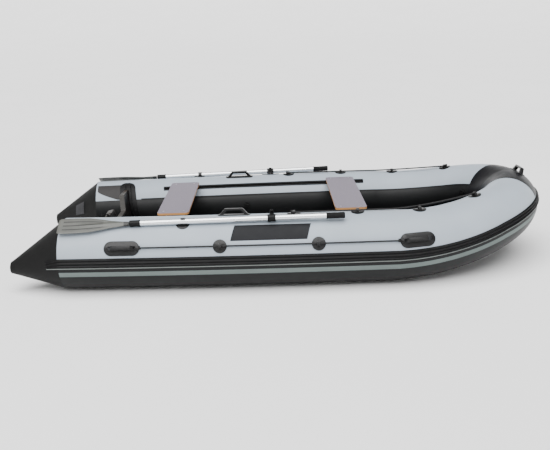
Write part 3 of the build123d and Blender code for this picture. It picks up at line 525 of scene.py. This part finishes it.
def soften(node, width, look, sharp=38.0):
    """A CAD piece with its edges eased, as moulded and cut parts are."""
    source = NODES[node]
    mesh = source.data.copy()
    tool = bmesh.new()
    tool.from_mesh(mesh)
    bmesh.ops.remove_doubles(tool, verts=tool.verts, dist=2e-6)
    bmesh.ops.dissolve_limit(tool, angle_limit=math.radians(0.6), verts=tool.verts, edges=tool.edges)
    tool.to_mesh(mesh)
    tool.free()
    made = piece(node + "_look", mesh, look, source["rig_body"], sharp)
    if width:
        bevel = made.modifiers.new("ease", "BEVEL")
        bevel.width = width
        bevel.segments = 2
        bevel.limit_method = "ANGLE"
        bevel.angle_limit = math.radians(sharp)
        bevel.use_clamp_overlap = True
        bevel.harden_normals = True
        bpy.context.view_layer.update()
        shaped = made.evaluated_get(bpy.context.evaluated_depsgraph_get())
        made.data = bpy.data.meshes.new_from_object(shaped)
        made.modifiers.clear()
    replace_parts(made, node)
    return made


# ---- Tubes and everything glued along them ------------------------------------------
side_chamber = SIDE + BOW[: BOW_HALF + 1]
CONE = spread(cone_station, 0.0, 1.0, 24)
for name, node, line, look in (
    ("tube_port", "chamber_port", side_chamber, "tube_fabric"),
    ("tube_starboard", "chamber_starboard", [mirrored(p) for p in side_chamber], "tube_fabric"),
    ("tube_bow", "chamber_bow", round_the_stem(BOW[BOW_HALF:]), "tube_fabric"),
    ("cone_port", "stern_cones", CONE, "cone_fabric"),
    ("cone_starboard", "stern_cones", [mirrored(p) for p in CONE], "cone_fabric"),
):
    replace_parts(swept(name, line, FULL, look, spin=RINGS), node)


def rim(grid):
    """The corners round a grid's edge, in order."""
    far, near = [row[-1] for row in reversed(grid[:-1])], list(reversed(grid[0][1:-1]))
    return [row[0] for row in grid] + grid[-1][1:] + far + near


def sheet(name, low, high, span, look, slot, lift, mirror=False, rows=48, cells=18, place=side_station):
    """A glued sheet between two angles of the tube; span(angle, share) gives its two ends along the tube."""
    tool = bmesh.new()
    layers = []
    for level in (0.0003, lift):
        grid = []
        for i in range(rows + 1):
            share = i / rows
            angle = low + (high - low) * share
            first, last = span(angle, share)
            row = []
            for j in range(cells + 1):
                point = on_skin(place(first + (last - first) * j / cells), angle, level)
                row.append(tool.verts.new(flip(point) if mirror else point))
            grid.append(row)
        layers.append(grid)
    for grid in layers:
        for i in range(rows):
            for j in range(cells):
                tool.faces.new((grid[i][j], grid[i + 1][j], grid[i + 1][j + 1], grid[i][j + 1]))
    lower, upper = (rim(grid) for grid in layers)
    for i in range(len(lower)):
        j = (i + 1) % len(lower)
        tool.faces.new((lower[i], lower[j], upper[j], upper[i]))
    bmesh.ops.recalc_face_normals(tool, faces=tool.faces)
    mesh = bpy.data.meshes.new(name)
    tool.to_mesh(mesh)
    tool.free()
    return piece(name, mesh, look)


BOARD_X, BOARD_LEAN = 0.262, math.tan(math.radians(8.0))
FLANGE_REACH = 0.058
EAR = 0.16


def board_line(angle):
    return BOARD_X - BOARD_LEAN * TUBE_R * math.sin(math.radians(angle))


def flange_span(angle, share):
    """The flange follows the leaning board and is rounded at both ends."""
    into = min(share, 1 - share, EAR) / EAR
    half = 0.012 + (FLANGE_REACH - 0.012) * math.sqrt(max(0.0, 1 - (1 - into) ** 2))
    return board_line(angle) - half, board_line(angle) + half


def rib_span(offset):
    return lambda angle, share: (board_line(angle) + offset - 0.0025, board_line(angle) + offset + 0.0025)


def patch_span(angle, share):
    """The patch's lower edge climbs towards the cone."""
    return 0.012 + 0.15 * max(0.0, (share - 0.45) / 0.55) ** 1.5, board_line(angle) - 0.03


FLANGE_TOP, RIB_TOP, HOLDER_FOOT = 104.0, 112.0, 214.0
FLANGE_LIFT, RIB_LIFT, RIB_OFFSET = 0.003, 0.024, 0.0185
PATCH_ANGLES, PATCH_LIFT = (110.0, 146.0), 0.0013
RUBBER = ("black_rubber", "black_rubber")
for label, back in (("port", False), ("starboard", True)):
    flange = sheet("holder_flange_" + label, FLANGE_TOP, HOLDER_FOOT, flange_span, *RUBBER, FLANGE_LIFT, back)
    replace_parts(flange, "transom_holders")
    for end, offset in (("aft", -RIB_OFFSET), ("fore", RIB_OFFSET)):
        name = "holder_rib_%s_%s" % (end, label)
        rib = sheet(name, RIB_TOP, HOLDER_FOOT, rib_span(offset), *RUBBER, RIB_LIFT, back, cells=2)
        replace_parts(rib, "transom_holders")
    looks = ("stern_patch", "dark_panel")
    patch = sheet("stern_patch_" + label, *PATCH_ANGLES, patch_span, *looks, PATCH_LIFT, back)
    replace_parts(patch, "stern_patches")

hull_line = round_the_stem(spread(cone_station, 0.24, 0.0, 12)[:-1] + SIDE + BOW)
STRAKE_ANGLES, STRAKE_DEPTH, STRAKE_RIBS = (-7.1, 7.9), 0.0118, 3
STRIPE_ANGLES, GLUED, STRIPE_LIFT = (-24.0, -15.4), 0.0003, 0.0011
PIPING_ANGLE, PIPING_HALF_WIDTH, PIPING_HEIGHT = -8.45, 0.95, 0.0036
strake_section = ribbed(*STRAKE_ANGLES, STRAKE_DEPTH, STRAKE_RIBS)
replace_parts(swept("strake_ribs", hull_line, strake_section, "black_rubber"), "rub_strake")
belt_line = round_the_stem(SIDE + BOW)
stripe_section = strip(*STRIPE_ANGLES, GLUED, STRIPE_LIFT)
stripe = swept("stripe_band", belt_line, stripe_section, "stripe_fabric")
piping_section = []
for degrees in range(0, 181, 18):
    a = math.radians(degrees)
    swell = PIPING_HEIGHT * max(0.0, math.sin(a))
    piping_section.append((PIPING_ANGLE + PIPING_HALF_WIDTH * math.cos(a), GLUED + swell))
piping = swept("piping_bead", hull_line, piping_section, "piping")
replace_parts(stripe, "side_stripes")
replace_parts(piping, "side_stripes")


def stem_station(run):
    """Round the bow: 0 at the port tube's start, 1 at the stem, 2 at the starboard tube's start."""
    return bow_station(run) if run <= 1 else mirrored(bow_station(2 - run))


def cover_span(angle, share):
    """The bow cover reaches further aft inside the boat."""
    start = COVER_START - COVER_INNER * max(0.0, (share - 0.45) / 0.55) ** 1.2
    return start, 2 - start


COVER_START, COVER_INNER, COVER_ANGLES, COVER_LIFT = 0.83, 0.075, (9.5, 212.0), 0.0011
COVER_GRID = {"rows": 84, "cells": 96, "place": stem_station}
panel = sheet("bow_cover", *COVER_ANGLES, cover_span, "dark_panel", "dark_panel", COVER_LIFT, **COVER_GRID)
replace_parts(panel, "bow_panel")

for node, width, look in (
    ("seam_tapes", 0.0002, "seam_fabric"),
    ("side_patches", 0.0002, "side_patch"),
    ("bottom_skin", 0.0, "floor_fabric"),
    ("keel_tube", 0.0, "floor_fabric"),
    ("bulkheads", 0.0, "floor_fabric"),
    ("cone_caps", 0.001, "black_rubber"),
    ("seat_rails", 0.0015, "black_rubber"),
    ("oarlock_bases", 0.0014, "moulded_rubber"),
    ("oarlock_pins", 0.0006, "black_plastic"),
    ("oar_holders", 0.0014, "moulded_rubber"),
    ("top_handles", 0.003, "moulded_rubber"),
    ("side_handles", 0.003, "moulded_rubber"),
    ("bow_handle", 0.003, "moulded_rubber"),
    ("top_eyelets", 0.0014, "moulded_rubber"),
    ("side_eyelets", 0.0014, "moulded_rubber"),
    ("transom_board", 0.002, "transom_ply"),
    ("transom_trim", 0.0008, "trim_plastic"),
    ("motor_pads", 0.001, "black_plastic"),
    ("drain_body", 0.0006, "black_plastic"),
    ("drain_plug", 0.0006, "black_plastic"),
    ("floorboard_aft", 0.0008, "plywood"),
    ("floorboard_middle", 0.0008, "plywood"),
    ("floorboard_fore", 0.0008, "plywood"),
    ("floorboard_bow", 0.0008, "plywood"),
    ("floor_joiners", 0.0003, "aluminium"),
    ("stringers", 0.0003, "aluminium"),
    ("seat_aft", 0.0018, "seat_ply"),
    ("seat_fore", 0.0018, "seat_ply"),
    ("seat_aft_clips", 0.0008, "black_plastic"),
    ("seat_fore_clips", 0.0008, "black_plastic"),
    ("seat_aft_screws", 0.0004, "steel"),
    ("seat_fore_screws", 0.0004, "steel"),
    ("valve_bodies", 0.0008, "black_plastic"),
    ("valve_cap_port", 0.0006, "black_plastic"),
    ("valve_cap_starboard", 0.0006, "black_plastic"),
    ("valve_cap_bow", 0.0006, "black_plastic"),
    ("tow_ring_pads", 0.0008, "pad_rubber"),
    ("tow_ring_port", 0.0, "steel"),
    ("tow_ring_starboard", 0.0, "steel"),
    ("oar_collar_port", 0.001, "black_plastic"),
    ("oar_collar_starboard", 0.001, "black_plastic"),
    ("oar_neck_port", 0.0008, "black_plastic"),
    ("oar_neck_starboard", 0.0008, "black_plastic"),
    ("oar_shaft_port", 0.0004, "aluminium"),
    ("oar_shaft_starboard", 0.0004, "aluminium"),
):
    soften(node, width, look)

# ---- Oars ---------------------------------------------------------------------------
OAR_AT = Vector((-0.085556, 0.691968, 0.456131))
OAR_AXIS = Vector((0.999513, 0.027919, 0.013962)).normalized()
BLADE_ROLL = math.radians(-28.7)
BLADE_ROOT, BLADE_TIP = -0.885, -1.328
BLADE_OUTLINE = ((0.0, 0.0165), (0.07, 0.0185), (0.25, 0.031), (0.42, 0.05), (0.56, 0.062), (0.75, 0.066),
                 (0.87, 0.0665), (0.94, 0.066), (0.98, 0.0635), (1.0, 0.056))
GROOVES = (-0.5, 0.0, 0.5)
BLADE_SHARP = 60.0


def between(table, share):
    for (a, low), (b, high) in zip(table, table[1:]):
        if share <= b:
            s = (share - a) / (b - a)
            return low + (high - low) * s
    return table[-1][1]


def blade(name, side):
    across = (OAR_AXIS.cross(Vector((0, 0, 1)))).normalized() * -1
    up = OAR_AXIS.cross(across).normalized()
    if up.z < 0:
        up = -up
    normal = up * math.cos(BLADE_ROLL) - across * math.sin(BLADE_ROLL)
    wide = normal.cross(OAR_AXIS).normalized()
    steps, cells = 90, 64
    tool = bmesh.new()
    uv = tool.loops.layers.uv.new("UVMap")
    faces = []
    for top in (1, -1):
        grid = []
        for i in range(steps + 1):
            share = i / steps
            half = between(BLADE_OUTLINE, share)
            row = []
            for j in range(cells + 1):
                v = math.sin(math.pi / 2 * (2 * j / cells - 1))
                edge = math.sqrt(max(0.0, 1 - abs(v) ** 8))
                body = 0.003 + 0.0095 * math.exp(-((v * half / 0.013) ** 2)) * max(0.0, 1 - share / 0.72)
                for groove in GROOVES:
                    if 0.3 < share < 0.93 and groove != 0.0 or 0.72 < share < 0.93:
                        body -= 0.0016 * math.exp(-(((v - groove) * half / 0.0022) ** 2))
                fade = min(1.0, (1 - share) * 30 + 0.25)
                point = OAR_AT + OAR_AXIS * (BLADE_ROOT + (BLADE_TIP - BLADE_ROOT) * share)
                row.append(tool.verts.new(point + wide * (v * half) + normal * (top * body * edge * fade)))
            grid.append(row)
        faces.append(grid)
        for i in range(steps):
            for j in range(cells):
                made = tool.faces.new((grid[i][j], grid[i + 1][j], grid[i + 1][j + 1], grid[i][j + 1]))
                for corner, (a, b) in zip(made.loops, ((i, j), (i + 1, j), (i + 1, j + 1), (i, j + 1))):
                    corner[uv].uv = (a / steps, 0.5 + 0.5 * math.sin(math.pi / 2 * (2 * b / cells - 1)))
    upper, lower = faces
    rim_up, rim_low = rim(upper), rim(lower)
    for i in range(len(rim_up)):
        j = (i + 1) % len(rim_up)
        made = tool.faces.new((rim_up[i], rim_up[j], rim_low[j], rim_low[i]))
        for corner in made.loops:
            corner[uv].uv = (0.2, 0.0)
    bmesh.ops.remove_doubles(tool, verts=tool.verts, dist=1e-6)
    bmesh.ops.recalc_face_normals(tool, faces=tool.faces)
    if side < 0:
        bmesh.ops.transform(tool, matrix=Matrix.Scale(-1, 4, (0, 1, 0)), verts=tool.verts)
        bmesh.ops.reverse_faces(tool, faces=tool.faces)
    mesh = bpy.data.meshes.new(name)
    tool.to_mesh(mesh)
    tool.free()
    body = "oar_port" if side > 0 else "oar_starboard"
    return piece(name, mesh, "blade_plastic", body, BLADE_SHARP)


def grip_profile():
    rows = [(0.337, 0.0176), (0.337, 0.0190), (0.3385, 0.0195), (0.345, 0.0195)]
    for i in range(9):
        start = 0.350 + 0.010 * i
        rows += [(start, 0.0195), (start + 0.001, 0.0186), (start + 0.004, 0.0186), (start + 0.005, 0.0195)]
    rows += [(0.444, 0.0195), (0.449, 0.0186), (0.4515, 0.0165), (0.452, 0.013)]
    return rows


for name, side in (("port", 1), ("starboard", -1)):
    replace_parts(blade("oar_blade_" + name + "_look", side), "oar_blade_" + name)
    start = OAR_AT if side > 0 else flip(OAR_AT)
    axis = OAR_AXIS if side > 0 else flip(OAR_AXIS)
    look_name = "oar_grip_" + name + "_look"
    grip = lathe(look_name, start, axis, grip_profile(), "grip_rubber", "oar_" + name)
    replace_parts(grip, "oar_grip_" + name)

# ---- Lifelines ----------------------------------------------------------------------
TOP_LINE = (
    (0.0386, 0.5878, 0.461),
    (0.4556, 0.5919, 0.461),
    (0.848, 0.5788, 0.4579),
    (1.2398, 0.4371, 0.5071),
)
SIDE_LINE = (
    (-0.9052, 0.7756, 0.3172),
    (-0.408, 0.7947, 0.3172),
    (0.1962, 0.8073, 0.3172),
    (0.692, 0.8088, 0.3172),
)
ROPE_R = 0.0052
KNOT_LENGTH = 0.011
UPWARDS = Vector((0, 0, 1))


def knot(name, centre, along, side):
    """An overhand knot at a lifeline's end."""
    curve = bpy.data.curves.new(name, "CURVE")
    curve.dimensions = "3D"
    curve.bevel_depth = ROPE_R * 0.92
    curve.bevel_resolution = 5
    curve.resolution_u = 10
    line = curve.splines.new("NURBS")
    turns = 26
    line.points.add(turns - 1)
    across = along.cross(side).normalized()
    for i in range(turns):
        a = 2 * math.pi * 1.75 * i / (turns - 1)
        reach = 0.0068 + 0.0014 * math.sin(2.5 * a)
        offset = side * (reach * math.cos(a)) + across * (reach * math.sin(a))
        offset = offset + along * (KNOT_LENGTH * (i / (turns - 1) - 0.5))
        line.points[i].co = (*(centre + offset), 1.0)
    line.order_u = 4
    line.use_endpoint_u = True
    made = bpy.data.objects.new(name, curve)
    SCENE.collection.objects.link(made)
    mesh = bpy.data.meshes.new_from_object(made)
    bpy.data.objects.remove(made)
    return piece(name, mesh, "rope")


def lifeline(name, points, node):
    curve = bpy.data.curves.new(name, "CURVE")
    curve.dimensions = "3D"
    curve.bevel_depth = ROPE_R
    curve.bevel_resolution = 6
    curve.resolution_u = 24
    line = curve.splines.new("NURBS")
    line.points.add(len(points) - 1)
    for spot, point in zip(line.points, points):
        spot.co = (*point, 1.0)
    line.order_u = 3
    line.use_endpoint_u = True
    curve.materials.append(LOOKS["rope"])
    made = bpy.data.objects.new(name, curve)
    SCENE.collection.objects.link(made)
    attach(made, HULL)
    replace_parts(made, node)
    for label, at, toward in (("aft", points[0], points[1]), ("fore", points[-1], points[-2])):
        along = (Vector(toward) - Vector(at)).normalized()
        centre = Vector(at) + along * 0.006 + UPWARDS * 0.002
        knot(name + "_knot_" + label, centre, along, UPWARDS)


for label, sign in (("port", 1), ("starboard", -1)):
    for kind, line in (("top", TOP_LINE), ("side", SIDE_LINE)):
        points = [(x, y * sign, z) for x, y, z in line]
        lifeline("lifeline_" + kind + "_" + label, points, "lifelines_" + kind)

# ---- Small details ------------------------------------------------------------------
SIDE_HANDLES = {
    "aft": ((-1.0117, 0.7603, 0.3129), (-0.0457, 0.9194, 0.3907), (0.9988, 0.0497, 0.0)),
    "fore": ((0.8017, 0.7883, 0.3137), (0.0607, 0.9171, 0.3939), (0.9953, -0.0854, 0.0453)),
}
BOLT = [(0.0038, 0.0085), (0.0056, 0.0085), (0.0064, 0.0078), (0.0068, 0.006)]
BOLT += [(0.0060, 0.0034), (0.0060, 0.001)]
BOLT_REACH = 0.074
for label, (at, out, along) in SIDE_HANDLES.items():
    for side_name, sign in (("port", 1), ("starboard", -1)):
        for end, reach in (("a", -BOLT_REACH), ("b", BOLT_REACH)):
            spot = Vector(at) + Vector(along) * reach
            normal = Vector(out)
            if sign < 0:
                spot, normal = flip(spot), flip(normal)
            name = "handle_bolt_%s_%s_%s" % (label, side_name, end)
            lathe(name, spot, normal, BOLT, "steel", turns=24)

# ---- Camera, light and floor --------------------------------------------------------
CAMERA_AT = (1.3214 - ORIGIN_X, -5.4464, 1.5317 + TUBE_R)
YAW, PITCH, ROLL = 0.0029, 0.276, -0.0336
forward = Vector((math.sin(YAW), math.cos(YAW), 0))
right = Vector((math.cos(YAW), -math.sin(YAW), 0))
up = Vector((0, 0, 1))


def turned(a, b, angle):
    """Two square directions, both turned from a towards b."""
    return a * math.cos(angle) + b * math.sin(angle), b * math.cos(angle) - a * math.sin(angle)


forward, up = turned(forward, up, -PITCH)
right, up = turned(right, up, ROLL)
lens = bpy.data.cameras.new("camera")
lens.lens = 52.36
lens.sensor_width = 36.0
camera = bpy.data.objects.new("camera", lens)
SCENE.collection.objects.link(camera)
turn = Matrix((right, up, -forward)).transposed().to_4x4()
camera.matrix_world = Matrix.Translation(CAMERA_AT) @ turn
SCENE.camera = camera

ground = bpy.data.meshes.new("studio_floor")
FLAT_REACH, SWEEP_REACH, SWEEP_STEPS, SWEEP_CURVE, SEGMENTS = 30.0, 72.0, 14, 80.0, 64
spots, faces = [], [tuple(range(SEGMENTS))]
for step in range(SWEEP_STEPS + 1):
    reach = FLAT_REACH + (SWEEP_REACH - FLAT_REACH) * step / SWEEP_STEPS
    height = (reach - FLAT_REACH) ** 2 / SWEEP_CURVE - 0.001
    for i in range(SEGMENTS):
        a = 2 * math.pi * i / SEGMENTS
        spots.append((reach * math.cos(a), reach * math.sin(a), height))
for step in range(SWEEP_STEPS):
    first = step * SEGMENTS
    for i in range(SEGMENTS):
        j = (i + 1) % SEGMENTS
        faces.append((first + i, first + SEGMENTS + i, first + SEGMENTS + j, first + j))
ground.from_pydata(spots, [], faces)
ground.shade_smooth()
floor = bpy.data.objects.new("studio_floor", ground)
SCENE.collection.objects.link(floor)
paper = Look("paper", 0.9)
paper.colour(paper.mix(paper.noise(0.8, 2.0), srgb(240, 240, 240), srgb(246, 246, 246)))
ground.materials.append(paper.material)

world = bpy.data.worlds.new("studio")
world.use_nodes = True
world.node_tree.nodes["Background"].inputs["Color"].default_value = (1, 1, 1, 1)
world.node_tree.nodes["Background"].inputs["Strength"].default_value = 0.26
SCENE.world = world


def softbox(name, at, target, size, power):
    light = bpy.data.lights.new(name, "AREA")
    light.shape = "RECTANGLE"
    light.size, light.size_y = size
    light.energy = power
    made = bpy.data.objects.new(name, light)
    SCENE.collection.objects.link(made)
    made.location = at
    made.rotation_euler = (Vector(target) - Vector(at)).to_track_quat("-Z", "Y").to_euler()


sky = bpy.data.lights.new("overhead", "SUN")
sky.energy = 6.4
sky.angle = math.radians(70)
overhead = bpy.data.objects.new("overhead", sky)
SCENE.collection.objects.link(overhead)
overhead.rotation_euler = (math.radians(20), math.radians(-6), 0)
softbox("key", (-2.5, -4.0, 3.4), (0, 0, 0.2), (3.0, 1.6), 40)
